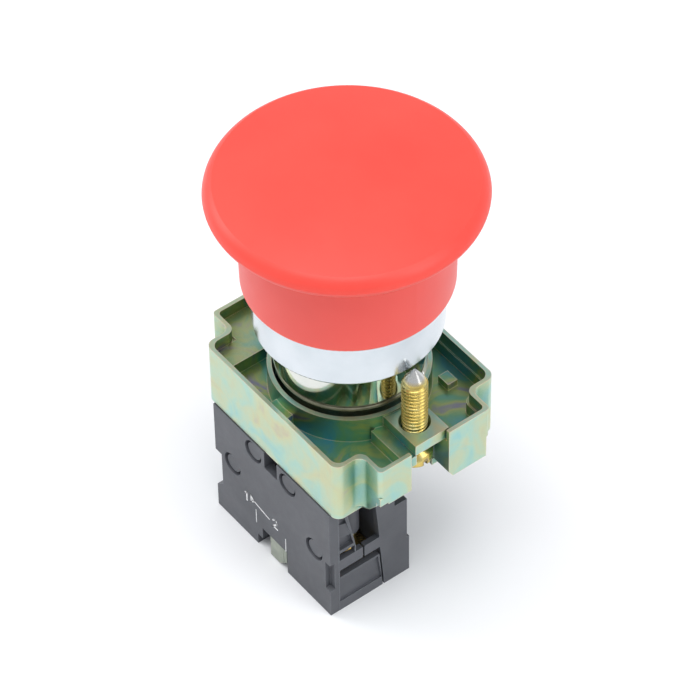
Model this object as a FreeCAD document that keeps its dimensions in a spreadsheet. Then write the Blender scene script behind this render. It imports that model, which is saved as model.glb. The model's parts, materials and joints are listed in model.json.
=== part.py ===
import FreeCAD, Part
import math
import os
import re
import Sketcher
from FreeCAD import Placement, Rotation, Vector

# Panel-mount mushroom stop button with a clamp-screw mounting body and one
# normally closed contact block.  The origin is on the button's axis where the
# bezel meets the front of the panel.  +Z points out of the panel, towards the
# hand, and X runs along the long side of the mounting body.

# Driving dimensions in millimetres.  A name ending in _z is a height.
SIZES = {
    # mushroom head
    "cap_radius": 20.0, "cap_rim_z": 24.9, "cap_rim_under_z": 23.6, "cap_rim_top_z": 26.9,
    "cap_crown_z": 29.05, "cap_under_radius": 18.7, "cap_shoulder_radius": 18.6,
    "neck_top_radius": 15.55, "neck_top_z": 21.2, "neck_radius": 15.35, "neck_bottom_z": 8.45,
    "skirt_bore": 14.35, "skirt_roof_z": 18.6, "cap_cavity_radius": 12.6, "cap_cavity_z": 25.1,
    "cap_boss_radius": 7.0, "cap_boss_z": 16.8, "rim_round": 1.4, "rim_top_round": 2.9,
    "neck_round": 3.2, "head_travel": 4.5,
    # stem and pusher
    "stem_radius": 5.0, "stem_spigot": 3.9, "stem_top_z": 23.6, "stem_shoulder_z": 17.4,
    "stem_foot_z": -11.0, "stem_end_z": -13.05, "detent_depth": 0.35, "detent_width": 1.2,
    "detent_z": 7.0, "pusher_radius": 9.2, "pusher_face_z": -13.2, "pusher_thick": 2.0,
    "pusher_hub_radius": 6.2, "pusher_hub_top_z": -9.4, "pusher_recess_radius": 5.9,
    "pusher_recess": 0.95, "clip_land": 0.1, "stem_clip_thick": 0.6, "stem_clip_radius": 5.4,
    "stem_clip_groove": 3.3, "clip_gap_half": 2.3, "slip": 0.05,
    # bezel, barrel and seals
    "bezel_radius": 13.85, "bezel_top_z": 12.2, "bezel_lip_radius": 10.2, "bezel_lip": 0.9,
    "bezel_round": 1.0, "gasket_radius": 12.9, "gasket_thick": 0.7, "barrel_radius": 11.15,
    "flange_radius": 11.6, "flange_z": 0.1, "barrel_top_z": 10.3, "barrel_bore": 9.6,
    "barrel_land_z": -7.75, "barrel_step": 10.55, "barrel_end_z": -16.0, "guide_z": 3.6,
    "detent_slot_radius": 7.2, "barrel_bevel": 0.35, "snap_ring_radius": 10.95,
    "snap_ring_top_z": -8.2, "snap_ring_thick": 0.75, "snap_ring_round": 0.3,
    "seal_radius": 10.1, "seal_thick": 0.9, "seal_wipe": 0.15, "detent_wire": 0.45, "fit_gap": 0.1,
    # mounting body
    "body_half_length": 15.5, "body_half_width": 14.475, "body_corner": 1.4,
    "tab_half_length": 19.85, "tab_half_width": 10.0, "tab_corner": 0.7, "tab_fillet": 1.4,
    "rim_wall": 0.62, "rim_z": -9.8, "ledge_z": -12.1, "ledge_wall": 0.9, "tray_z": -14.1,
    "tray_under_z": -15.5, "body_bottom_z": -21.0, "ring_radius": 11.95, "ring_bore": 11.25,
    "ring_top_z": -9.5, "ring_bottom_z": -16.4, "skirt_wall": 0.8,
    "lug_half_width": 2.95, "lug_front": 19.0, "lug_thick": 1.9, "lug_ledge_z": -11.8,
    "slot_near": -4.35, "slot_far": 2.45, "short_leg_z": -17.4, "short_leg_step": 0.4,
    "short_leg_step_y": 8.5, "long_leg_z": -19.6, "long_leg_side": 9.35, "leg_wall": 0.95,
    "leg_bevel": 0.8, "leg_bevel_z": -18.2, "wedge_knee_x": 17.4, "wedge_knee_z": -19.7,
    "wedge_end_x": 19.15, "leg_fillet_z": -20.0, "screw_x": 15.06, "screw_hole": 2.0, "screw_sink": 2.35,
    "sink_depth": 0.6, "head_room": 0.2, "lug_skin": 0.2, "web_half_width": 1.95, "web_z": -11.8,
    "web_end": 0.2,
    "boss_x": 8.2, "boss_y": 9.8, "boss_length": 2.3, "boss_width": 1.75, "boss_z": -12.9,
    "plateau_x": 11.0, "plateau_y": 3.2, "plateau_z": -11.9,
    "toe_x": 10.2, "toe_length": 1.6, "toe_web_half": 0.3, "toe_reach": 1.0, "toe_z": -18.0,
    "toe_thick": 0.6, "catch_z": -19.7, "catch_thick": 0.7, "catch_reach": 0.65,
    # clamp screws
    "screw_radius": 1.93, "screw_root": 1.62, "screw_pitch": 0.7, "screw_thread_top_z": -1.0,
    "screw_tip_z": 0.95, "screw_tip_flat": 0.25, "screw_head_radius": 2.65,
    "screw_head_top_z": -14.9, "screw_head_z": -17.35, "screw_slot": 0.8, "screw_slot_depth": 1.2,
    # contact block
    "block_half_length": 13.85, "block_front": -14.7, "cover_back": -13.05,
    "block_back": -0.05, "upper_back": -0.45, "band_step_z": -36.2,
    "block_top_z": -21.15, "block_bottom_z": -43.7, "neck_half_length": 11.9, "neck_back": -0.6,
    "block_neck_z": -18.2, "block_wall": 0.9, "back_wall": 1.3,
    "head_relief": 3.0, "head_relief_z": -27.6, "contact_room": 7.0, "room_wall": 0.8,
    "room_floor_z": -38.6, "room_floor": 0.7, "room_back": -5.55, "hook_width": 1.4,
    "hook_z": -16.5, "hook_under_z": -17.3, "hook_back": -1.9, "hook_front": -1.1,
    "hook_tip": -0.45, "window_front": -11.55, "window_front_low": -9.9, "window_back": -6.45,
    "window_back_low": -5.55, "window_sill_z": -32.5, "window_tip_z": -31.3, "bar_bottom_z": -34.75,
    "slit_front": -8.65, "slit_back": -8.3, "wire_slot_z": -36.3, "cell_front": -12.9,
    "cell_back": -12.05, "cell_back_low": -10.3, "cell_top_z": -22.6, "cell_sill_z": -30.3,
    "cell_depth": 0.7, "cheek_back": -10.9, "cheek_top_z": -25.3, "cheek_bottom_z": -28.0,
    "side_slot_z": -30.9,
    "side_slot_back": -10.1, "flap_front": -12.95, "flap_back": -5.9, "flap_back_low": -5.2,
    "flap_z": -36.65, "flap_line_z": -41.8, "flap_sink": 0.35, "gap_top": -5.75, "gap_foot": -4.95,
    "gap_width": 0.3, "tube_radius": 2.0, "tube_bore": 1.65, "tube_end_z": -30.9,
    "driver_hole": 2.75, "terminal_floor": 1.3, "peg_radius": 1.5, "peg_hole": 1.95,
    "peg_sink": 0.25, "peg_root": 2.0,
    "peg_a_x": -9.65, "peg_a_z": -30.9, "peg_b_x": -4.24, "peg_b_z": -23.35,
    "peg_c_x": 3.94, "peg_c_z": -23.35, "peg_d_x": 10.09, "peg_d_z": -31.95,
    "cover_step_x": 12.4, "cover_step_top_z": -31.2, "cover_step_bottom_z": -37.9,
    "cover_step_slope": 1.2, "cover_slot_x": 12.7, "cover_slot_top_z": -32.4,
    "cover_slot_z": -38.3, "cover_slot_depth": 0.9, "notch_left": -3.9, "notch_step": -2.7,
    "notch_step_z": -41.5, "notch_right": 3.35, "notch_z": -39.15, "notch_depth": 4.2,
    "port_left": -1.55, "port_right": 1.45, "port_z": -24.5, "edge_round": 0.35,
    # contacts
    "post_half": 1.5, "contact_y": -7.35, "post_top_z": -13.25, "post_gap": 0.25,
    "carrier_half_x": 2.6, "carrier_half_y": 2.25, "carrier_top_z": -24.0,
    "carrier_bottom_z": -31.2, "cage_top_z": -27.4, "cage_bottom_z": -30.2,
    "tail_radius": 1.1, "tail_z": -33.5, "bridge_half": 5.6, "bridge_half_width": 1.5,
    "bridge_top_z": -27.6, "bridge_thick": 0.6, "bridge_low_z": -28.2, "tip_x": 4.4,
    "tip_radius": 1.0, "tip_thick": 0.55, "tip_gap": 0.03, "strip_thick": 0.7,
    "strip_half_width": 1.5, "strip_inner": 3.3, "strip_riser": 6.8, "plate_top_z": -33.6,
    "terminal_x": 10.1, "terminal_y": -8.9, "plate_front": -11.3, "plate_back": -6.7,
    "plate_inner": 7.9, "plate_end": 12.6, "plate_lap": 0.1, "thread_hole": 1.55,
    "return_wire": 0.25, "return_coil": 1.9, "return_turns": 5.0,
    "cage_wire": 0.18, "cage_coil": 0.95, "cage_turns": 4.0,
    # terminal screws and saddles
    "term_screw_radius": 1.5, "term_screw_tip_z": -31.4, "term_head_radius": 2.2,
    "term_head_top_z": -37.5, "term_head_z": -39.9, "saddle_thick": 0.8, "saddle_ear": 0.8,
    "saddle_ear_z": -35.6, "saddle_inner": 8.1, "saddle_end": 12.5, "saddle_hole": 1.6,
    "cross_half": 1.4, "cross_width": 0.7, "cross_depth": 1.2,
    # latch that holds the block on the mounting body
    "latch_front": -12.8, "latch_thick": 0.7, "latch_left": -0.9, "latch_right": 2.2,
    "latch_leg": 1.5, "latch_plate_z": -25.5, "latch_top_z": -18.9, "latch_tooth": 0.6,
    "latch_reach": -13.6, "latch_pin_z": -36.0, "latch_pin_y": -11.9, "latch_pin_radius": 0.55,
    "latch_knuckle": 1.1, "latch_bend_z": -39.4, "tongue_front": -14.6, "tongue_right": 3.1,
    "tongue_z": -43.45, "tongue_line": 2.3, "tongue_line_width": 0.12, "tongue_bevel_x": 1.3,
    "tongue_bevel_z": -41.9, "latch_slot": 0.3, "latch_swing": 1.3, "latch_pin_half": 7.4,
    # how far a cutting tool runs past the piece that it cuts
    "overrun": 1.0,
}

doc = FreeCAD.newDocument("StopButton")
sheet = doc.addObject("Spreadsheet::Sheet", "Sizes")
for row, (alias, size) in enumerate(SIZES.items(), 1):
    sheet.set(f"A{row}", alias)
    sheet.set(f"B{row}", str(size))
    sheet.setAlias(f"B{row}", alias)
doc.recompute()


def formula(text):
    """The same sum with every size's name pointing at its cell."""
    return re.sub(r"[a-z][a-z_]*", lambda word: "Sizes." * (word.group() in SIZES) + word.group(), text)


def amount(text):
    """What a sum such as "- ring_radius + 2*rim_wall" comes to.  It places sketch geometry that the
    constraints then hold."""
    total = 0.0
    sign = 1.0
    for word in text.split():
        if word in "+-":
            sign = -1.0 if word == "-" else 1.0
            continue
        product = sign
        for factor in word.split("*"):
            product *= SIZES[factor] if factor in SIZES else float(factor)
        total += product
        sign = 1.0
    return total


def minus(text):
    """The same sum with every sign changed."""
    changed = text.replace(" + ", " # ").replace(" - ", " + ").replace(" # ", " - ")
    return changed[2:] if changed.startswith("- ") else "- " + changed


def bind(feature, **sizes):
    for name, text in sizes.items():
        feature.setExpression(name, formula(text))


def place(feature, x="0", y="0", z="0", turned=False):
    """Move a primitive to a point, or to the point half a turn about Z away from it."""
    if turned:
        feature.Placement = Placement(Vector(), Rotation(Vector(0, 0, 1), 180))
        x = f"-({x})"
        y = f"-({y})"
    for axis, text in zip("xyz", (x, y, z)):
        feature.setExpression("Placement.Base." + axis, formula(text))


def box(name, low, high, turned=False):
    """A block between two corners given as sums of sizes."""
    block = doc.addObject("Part::Box", name)
    spans = [f"({b}) - ({a})" for a, b in zip(low, high)]
    bind(block, Length=spans[0], Width=spans[1], Height=spans[2])
    place(block, *low, turned)
    return block


def end_box(name, side, low, high):
    """A block given for the right-hand end, or its mirror image at the left-hand end."""
    if side == "left":
        return box(f"{name}_{side}", (minus(high[0]), *low[1:]), (minus(low[0]), *high[1:]))
    return box(f"{name}_{side}", low, high)


def rod(name, radius, low, high, x="0", y="0", turned=False):
    """An upright cylinder between two heights."""
    cylinder = doc.addObject("Part::Cylinder", name)
    bind(cylinder, Radius=radius, Height=f"({high}) - ({low})")
    place(cylinder, x, y, low, turned)
    return cylinder


def lying_rod(name, radius, x, z, front, back):
    """A cylinder along Y, from front to back."""
    cylinder = doc.addObject("Part::Cylinder", name)
    bind(cylinder, Radius=radius, Height=f"({back}) - ({front})")
    cylinder.Placement = Placement(Vector(), Rotation(Vector(1, 0, 0), -90))
    for axis, text in zip("xyz", (x, front, z)):
        cylinder.setExpression("Placement.Base." + axis, formula(text))
    return cylinder


def cross_rod(name, radius, y, z, left, right):
    """A cylinder along X, from left to right."""
    cylinder = doc.addObject("Part::Cylinder", name)
    bind(cylinder, Radius=radius, Height=f"({right}) - ({left})")
    cylinder.Placement = Placement(Vector(), Rotation(Vector(0, 1, 0), 90))
    for axis, text in zip("xyz", (left, y, z)):
        cylinder.setExpression("Placement.Base." + axis, formula(text))
    return cylinder


def joined(name, pieces):
    union = doc.addObject("Part::MultiFuse", name)
    union.Shapes = pieces
    union.Refine = True
    return union


def cut(name, base, tools):
    """The base less every tool."""
    difference = doc.addObject("Part::Cut", name)
    difference.Base = base
    difference.Tool = tools[0] if len(tools) == 1 else joined(name + "_tools", tools)
    difference.Refine = True
    return difference


def origin_plane(body, role):
    return [plane for plane in body.Origin.OriginFeatures if plane.Role == role][0]


def new_sketch(body, role, offset="0"):
    """A sketch on one of the body's own origin planes, moved along the plane's normal."""
    sketch = body.newObject("Sketcher::SketchObject", body.Name + "_outline")
    sketch.AttachmentSupport = [(origin_plane(body, role), "")]
    sketch.MapMode = "FlatFace"
    bind(sketch, **{"AttachmentOffset.Base.z": offset})
    return sketch


def draw(sketch, points):
    """Close a profile through points.  A third entry makes the side that leaves the point an arc of
    that radius, a leading minus on it an arc that turns clockwise, and the word dome an arc whose
    centre is on the axis."""
    ends = []
    for number, point in enumerate(points):
        following = points[(number + 1) % len(points)]
        start = Vector(amount(point[0]), amount(point[1]), 0)
        finish = Vector(amount(following[0]), amount(following[1]), 0)
        if len(point) == 2:
            edge = sketch.addGeometry(Part.LineSegment(start, finish), False)
            ends.append((edge, 1, 2))
        else:
            chord = finish - start
            domed = point[2] == "dome"
            radius = chord.Length ** 2 / (2 * chord.y) if domed else amount(point[2])
            rise = math.sqrt(max(0.0, radius * radius - chord.Length * chord.Length / 4))
            side = Vector(-chord.y, chord.x, 0).normalize() * math.copysign(rise, radius)
            centre = (start + finish) / 2 + side
            circle = Part.Circle(centre, Vector(0, 0, 1), abs(radius))
            first, last = (start, finish) if radius > 0 else (finish, start)
            angles = [math.atan2(p.y - centre.y, p.x - centre.x) for p in (first, last)]
            edge = sketch.addGeometry(Part.ArcOfCircle(circle, *angles), False)
            ends.append((edge, 1, 2) if radius > 0 else (edge, 2, 1))
            if domed:
                sketch.addConstraint(Sketcher.Constraint("PointOnObject", edge, 3, -2))
            else:
                limit = sketch.addConstraint(Sketcher.Constraint("Radius", edge, abs(radius)))
                sketch.setExpression(f"Constraints[{limit}]", formula(point[2].replace("- ", "")))
    for number, (edge, start, finish) in enumerate(ends):
        after = ends[(number + 1) % len(ends)]
        sketch.addConstraint(Sketcher.Constraint("Coincident", edge, finish, after[0], after[1]))
        for kind, text in zip(("DistanceX", "DistanceY"), points[number][:2]):
            limit = Sketcher.Constraint(kind, -1, 1, edge, start, amount(text))
            limit = sketch.addConstraint(limit)
            sketch.setExpression(f"Constraints[{limit}]", formula(text))


def turned_part(name, points):
    """A body turned about the Z axis from a profile of (radius, height) points."""
    body = doc.addObject("PartDesign::Body", name)
    sketch = new_sketch(body, "XZ_Plane")
    draw(sketch, points)
    turn = body.newObject("PartDesign::Revolution", name + "_turn")
    turn.Profile = sketch
    turn.ReferenceAxis = (sketch, ["V_Axis"])
    turn.Angle = 360
    return body


def bar_part(name, role, points, start, length):
    """A body padded from a profile on an origin plane, from start along the plane's normal."""
    body = doc.addObject("PartDesign::Body", name)
    sketch = new_sketch(body, role, start)
    draw(sketch, points)
    pad = body.newObject("PartDesign::Pad", name + "_pad")
    pad.Profile = sketch
    bind(pad, Length=length)
    return body


def end_bar(name, side, points, low, high):
    """A bar along X with a (y, z) profile, given for the right-hand end or mirrored to the left."""
    if side == "left":
        low, high = minus(high), minus(low)
    return bar_part(f"{name}_{side}", "YZ_Plane", points, low, f"({high}) - ({low})")


def rounded(points):
    """Profile points of a square-cornered outline: each corner, given with its radius and the
    directions towards its two neighbours, becomes an arc that touches both sides."""
    profile = []
    for x, y, radius, enter, leave, clockwise in points:
        for step, last in ((enter, False), (leave, True)):
            dx, dy = step
            signs = {1: "+", -1: "-"}
            point = (
                f"{x} {signs[dx]} {radius}" if dx else x,
                f"{y} {signs[dy]} {radius}" if dy else y,
            )
            if not last:
                point += (("- " if clockwise else "") + radius,)
            profile.append(point)
    return profile


def tray_outline(name, inset, low, high):
    """The mounting body's plan: a rectangle crossed by a longer, narrower one, moved in by a wall's
    thickness."""
    long_x = f"tab_half_length - {inset}"
    long_y = f"tab_half_width - {inset}"
    short_x = f"body_half_length - {inset}"
    short_y = f"body_half_width - {inset}"
    minus_x = [minus(long_x), minus(short_x)]
    minus_y = [minus(long_y), minus(short_y)]
    corners = [
        (short_x, minus_y[1], "body_corner", (-1, 0), (0, 1), False),
        (short_x, minus_y[0], "tab_fillet", (0, -1), (1, 0), True),
        (long_x, minus_y[0], "tab_corner", (-1, 0), (0, 1), False),
        (long_x, long_y, "tab_corner", (0, -1), (-1, 0), False),
        (short_x, long_y, "tab_fillet", (1, 0), (0, 1), True),
        (short_x, short_y, "body_corner", (0, -1), (-1, 0), False),
        (minus_x[1], short_y, "body_corner", (1, 0), (0, -1), False),
        (minus_x[1], long_y, "tab_fillet", (0, 1), (-1, 0), True),
        (minus_x[0], long_y, "tab_corner", (1, 0), (0, -1), False),
        (minus_x[0], minus_y[0], "tab_corner", (0, 1), (1, 0), False),
        (minus_x[1], minus_y[0], "tab_fillet", (-1, 0), (0, -1), True),
        (minus_x[1], minus_y[1], "body_corner", (0, 1), (1, 0), False),
    ]
    return bar_part(name, "XY_Plane", rounded(corners), low, f"({high}) - ({low})")


def skirt_outline(name, inset, low, high):
    """The rectangle of the mounting body's lower walls, moved in by a wall's thickness."""
    x = f"body_half_length - {inset}"
    y = f"body_half_width - {inset}"
    corners = [
        (x, minus(y), "body_corner", (-1, 0), (0, 1), False),
        (x, y, "body_corner", (0, -1), (-1, 0), False),
        (minus(x), y, "body_corner", (1, 0), (0, -1), False),
        (minus(x), minus(y), "body_corner", (0, 1), (1, 0), False),
    ]
    return bar_part(name, "XY_Plane", rounded(corners), low, f"({high}) - ({low})")


def spring(name, wire, coil, turns, low, high, x, y):
    """A coil spring of round wire.  Its two ends lie a wire's radius inside the heights given."""
    radius = SIZES[wire]
    rise = SIZES[high] - SIZES[low] - 2 * radius
    path = Part.makeHelix(rise / SIZES[turns], rise, SIZES[coil])
    section = Part.Wire(Part.makeCircle(radius, Vector(SIZES[coil], 0, 0), Vector(0, 1, 0)))
    shape = Part.Wire(path.Edges).makePipeShell([section], True, True)
    coil_feature = doc.addObject("Part::Feature", name)
    coil_feature.Shape = shape
    coil_feature.Placement = Placement(Vector(x, y, SIZES[low] + radius), Rotation())
    return coil_feature


# Mushroom head -----------------------------------------------------------------

def mushroom_cap():
    return turned_part("mushroom_cap", [
        ("skirt_bore", "neck_bottom_z + edge_round"),
        ("skirt_bore + edge_round", "neck_bottom_z"),
        ("neck_radius - edge_round", "neck_bottom_z", "edge_round"),
        ("neck_radius", "neck_bottom_z + edge_round"),
        ("neck_top_radius", "neck_top_z", "- neck_round"),
        ("cap_under_radius", "cap_rim_under_z", "rim_round"),
        ("cap_radius", "cap_rim_z", "rim_top_round"),
        ("cap_shoulder_radius", "cap_rim_top_z", "dome"),
        ("0", "cap_crown_z"),
        ("0", "stem_top_z"),
        ("stem_spigot", "stem_top_z"),
        ("stem_spigot", "stem_shoulder_z"),
        ("stem_radius", "stem_shoulder_z"),
        ("stem_radius", "cap_boss_z"),
        ("cap_boss_radius", "cap_boss_z"),
        ("cap_boss_radius", "cap_cavity_z"),
        ("cap_cavity_radius", "cap_cavity_z"),
        ("cap_cavity_radius", "skirt_roof_z"),
        ("skirt_bore", "skirt_roof_z"),
    ])


def stem():
    groove = "stem_radius - detent_depth"
    half = "0.5*detent_width"
    return turned_part("stem", [
        ("0", "stem_end_z"),
        ("stem_spigot", "stem_end_z"),
        ("stem_spigot", "stem_end_z + clip_land"),
        ("stem_clip_groove", "stem_end_z + clip_land"),
        ("stem_clip_groove", "stem_end_z + clip_land + stem_clip_thick"),
        ("stem_spigot", "stem_end_z + clip_land + stem_clip_thick"),
        ("stem_spigot", "stem_foot_z"),
        ("stem_radius", "stem_foot_z"),
        ("stem_radius", f"detent_z - {half}"),
        (groove, "detent_z"),
        ("stem_radius", f"detent_z + {half}"),
        ("stem_radius", f"detent_z + head_travel - {half}"),
        (groove, "detent_z + head_travel"),
        ("stem_radius", f"detent_z + head_travel + {half}"),
        ("stem_radius", "stem_shoulder_z"),
        ("stem_spigot", "stem_shoulder_z"),
        ("stem_spigot", "stem_top_z"),
        ("0", "stem_top_z"),
    ])


def pusher_disc():
    return turned_part("pusher_disc", [
        ("pusher_recess_radius", "pusher_face_z"),
        ("pusher_radius - edge_round", "pusher_face_z"),
        ("pusher_radius", "pusher_face_z + edge_round"),
        ("pusher_radius", "pusher_face_z + pusher_thick"),
        ("pusher_hub_radius", "pusher_face_z + pusher_thick"),
        ("pusher_hub_radius", "pusher_hub_top_z"),
        ("stem_radius", "pusher_hub_top_z"),
        ("stem_radius", "stem_foot_z"),
        ("stem_spigot", "stem_foot_z"),
        ("stem_spigot", "pusher_face_z + pusher_recess"),
        ("pusher_recess_radius", "pusher_face_z + pusher_recess"),
    ])


def stem_clip():
    """An open retaining ring: its gap lets it spring into the stem's groove."""
    low = "stem_end_z + clip_land"
    high = "stem_end_z + clip_land + stem_clip_thick"
    ring = rod("stem_clip_ring", "stem_clip_radius", low, high)
    bore = rod("stem_clip_bore", "stem_clip_groove", low, high)
    gap = box("stem_clip_gap", ("0", "- clip_gap_half", low), ("stem_clip_radius", "clip_gap_half", high))
    return cut("stem_clip", ring, [bore, gap])


# Bezel, barrel and their seals ----------------------------------------------------

def bezel():
    return turned_part("bezel", [
        ("gasket_radius", "0"),
        ("bezel_radius - edge_round", "0", "edge_round"),
        ("bezel_radius", "edge_round"),
        ("bezel_radius", "bezel_top_z - bezel_round", "bezel_round"),
        ("bezel_radius - bezel_round", "bezel_top_z"),
        ("bezel_lip_radius", "bezel_top_z"),
        ("bezel_lip_radius", "bezel_top_z - bezel_lip"),
        ("flange_radius", "bezel_top_z - bezel_lip"),
        ("flange_radius", "gasket_thick"),
        ("gasket_radius", "gasket_thick"),
    ])


def barrel():
    slot = "0.5*detent_width"
    return turned_part("barrel", [
        ("barrel_bore", "barrel_end_z"),
        ("barrel_step", "barrel_end_z"),
        ("barrel_step", "barrel_land_z"),
        ("barrel_radius - barrel_bevel", "barrel_land_z"),
        ("barrel_radius", "barrel_land_z + barrel_bevel"),
        ("barrel_radius", "flange_z"),
        ("flange_radius", "flange_z"),
        ("flange_radius", "barrel_top_z"),
        ("stem_radius + slip", "barrel_top_z"),
        ("stem_radius + slip", f"detent_z + {slot}"),
        ("detent_slot_radius", f"detent_z + {slot}"),
        ("detent_slot_radius", f"detent_z - {slot}"),
        ("stem_radius + slip", f"detent_z - {slot}"),
        ("stem_radius + slip", "guide_z"),
        ("barrel_bore", "guide_z"),
    ])


def panel_gasket():
    return turned_part("panel_gasket", [
        ("flange_radius + fit_gap", "0"),
        ("gasket_radius", "0"),
        ("gasket_radius", "gasket_thick"),
        ("flange_radius + fit_gap", "gasket_thick"),
    ])


def stem_seal():
    return turned_part("stem_seal", [
        ("stem_radius + slip", "barrel_top_z"),
        ("seal_radius", "barrel_top_z"),
        ("seal_radius", "barrel_top_z + seal_thick"),
        ("stem_radius + slip + seal_wipe", "barrel_top_z + seal_thick"),
        ("stem_radius + slip", "barrel_top_z + 0.5*seal_thick"),
    ])


def detent_ring():
    """An open wire ring in the barrel's slot, shown spread over the stem as it is between two detents."""
    ring = doc.addObject("Part::Torus", "detent_ring_wire")
    bind(ring, Radius1="stem_radius + slip + detent_wire", Radius2="detent_wire")
    place(ring, z="detent_z")
    gap = box("detent_ring_gap", ("0", "-2*detent_wire", "detent_z - 2*detent_wire"),
              ("detent_slot_radius", "2*detent_wire", "detent_z + 2*detent_wire"))
    return cut("detent_ring", ring, [gap])


def snap_ring():
    low = "snap_ring_top_z - snap_ring_thick"
    return turned_part("barrel_snap_ring", [
        ("barrel_step", low),
        ("snap_ring_radius - snap_ring_round", low, "snap_ring_round"),
        ("snap_ring_radius", f"{low} + snap_ring_round"),
        ("snap_ring_radius", "snap_ring_top_z - snap_ring_round", "snap_ring_round"),
        ("snap_ring_radius - snap_ring_round", "snap_ring_top_z"),
        ("barrel_step", "snap_ring_top_z"),
    ])


# Mounting body ------------------------------------------------------------------------

def body_end(side):
    """What one end of the mounting body adds and what is cut from it.  The other end is the same,
    turned half way round the axis."""
    turned = side == "far"
    ledge_under_z = "lug_ledge_z - lug_thick"
    slot_wall_x = "ring_radius - rim_wall"
    leg_x = "body_half_length - skirt_wall"
    added = [
        box(f"lug_{side}", ("ring_bore", "- lug_half_width", "rim_z - lug_thick"),
            ("lug_front", "lug_half_width", "rim_z"), turned),
        box(f"ledge_{side}", ("ring_bore", "slot_near", ledge_under_z),
            ("lug_front", "0", "lug_ledge_z"), turned),
        box(f"slot_wall_{side}_near", (slot_wall_x, "slot_near - rim_wall", "tray_under_z"),
            ("lug_front", "slot_near", "lug_ledge_z"), turned),
        box(f"slot_wall_{side}_far", (slot_wall_x, "slot_far", "tray_under_z"),
            ("lug_front", "slot_far + rim_wall", "rim_z"), turned),
        box(f"short_leg_{side}", (leg_x, "- tab_half_width", "short_leg_z"),
            ("tab_half_length", "slot_near", "tray_under_z"), turned),
        box(f"long_leg_{side}", (leg_x, "slot_far", "long_leg_z"),
            ("tab_half_length", "long_leg_side", "tray_under_z"), turned),
        box(f"web_{side}", ("- web_half_width", "- body_half_width + web_end", "tray_z"),
            ("web_half_width", "- ring_radius + web_end", "web_z"), turned),
        box(f"toe_web_{side}", ("toe_x", "- toe_web_half", "toe_z"),
            ("toe_x + toe_length", "toe_web_half", "tray_under_z"), turned),
        box(f"toe_{side}", ("toe_x", "- toe_reach", "toe_z"),
            ("toe_x + toe_length", "toe_reach", "toe_z + toe_thick"), turned),
        box(f"catch_{side}",
            ("latch_leg", "- body_half_width + web_end", "catch_z - catch_thick"),
            ("latch_right", "- body_half_width + skirt_wall + catch_reach", "catch_z"), turned),
    ]
    wedge = bar_part(f"leg_wedge_{side}", "XZ_Plane", [
        ("body_half_length - skirt_wall", "body_bottom_z"),
        ("body_half_length", "body_bottom_z"),
        ("wedge_knee_x", "wedge_knee_z"),
        ("wedge_end_x", "short_leg_z"),
        ("wedge_end_x", "tray_under_z"),
        ("body_half_length - skirt_wall", "tray_under_z"),
    ], "tab_half_width - skirt_wall", "skirt_wall")
    place(wedge, turned=turned)
    fillet = bar_part(f"leg_fillet_{side}", "XY_Plane", [
        ("body_half_length - fit_gap", "- tab_half_width - tab_fillet"),
        ("body_half_length", "- tab_half_width - tab_fillet", "- tab_fillet"),
        ("body_half_length + tab_fillet", "- tab_half_width"),
        ("body_half_length + tab_fillet", "- tab_half_width + fit_gap"),
        ("body_half_length - fit_gap", "- tab_half_width + fit_gap"),
    ], "leg_fillet_z", "tray_under_z - (leg_fillet_z)")
    place(fillet, turned=turned)
    bevel = bar_part(f"leg_bevel_{side}", "YZ_Plane", [
        ("slot_far - fit_gap", "leg_bevel_z"),
        ("slot_far - fit_gap", "long_leg_z - fit_gap"),
        ("slot_far + leg_bevel", "long_leg_z - fit_gap"),
    ], leg_x, "tab_half_length - body_half_length + skirt_wall + overrun")
    place(bevel, turned=turned)
    removed = [
        bevel,
        box(f"screw_slot_{side}", ("ring_radius", "slot_near", "body_bottom_z - overrun"),
            ("tab_half_length + overrun", "slot_far", ledge_under_z), turned),
        box(f"screw_slot_roof_{side}", ("ring_radius", "- lug_half_width + lug_skin", ledge_under_z),
            ("tab_half_length + overrun", "slot_far", "rim_z - lug_thick"), turned),
        box(f"lug_gap_{side}", ("lug_front", "slot_near", "body_bottom_z"),
            ("tab_half_length + overrun", "slot_far", "rim_z + overrun"), turned),
        box(f"short_leg_room_{side}",
            ("body_half_length", "- tab_half_width + leg_wall", "short_leg_z"),
            ("tab_half_length - leg_wall", "slot_near - leg_wall", "tray_under_z"), turned),
        box(f"short_leg_foot_{side}",
            ("tab_half_length - leg_wall", "- tab_half_width - overrun", "short_leg_z - overrun"),
            ("tab_half_length + overrun", "- short_leg_step_y", "short_leg_z + short_leg_step"), turned),
        box(f"long_leg_room_{side}", ("body_half_length", "slot_far + leg_wall", "long_leg_z"),
            ("tab_half_length - leg_wall", "long_leg_side - leg_wall", "tray_under_z"), turned),
        rod(f"screw_hole_{side}", "screw_hole", "body_bottom_z", "0", "screw_x", "0", turned),
        rod(f"head_room_{side}", "screw_head_radius + head_room", "body_bottom_z - overrun",
            "screw_head_top_z + fit_gap", "screw_x", "0", turned),
    ]
    sink = doc.addObject("Part::Cone", f"screw_sink_{side}")
    bind(sink, Radius1="screw_hole", Radius2="screw_sink", Height="sink_depth")
    place(sink, "screw_x", "0", "rim_z - sink_depth", turned)
    return added + [wedge, fillet], removed + [sink]


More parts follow.
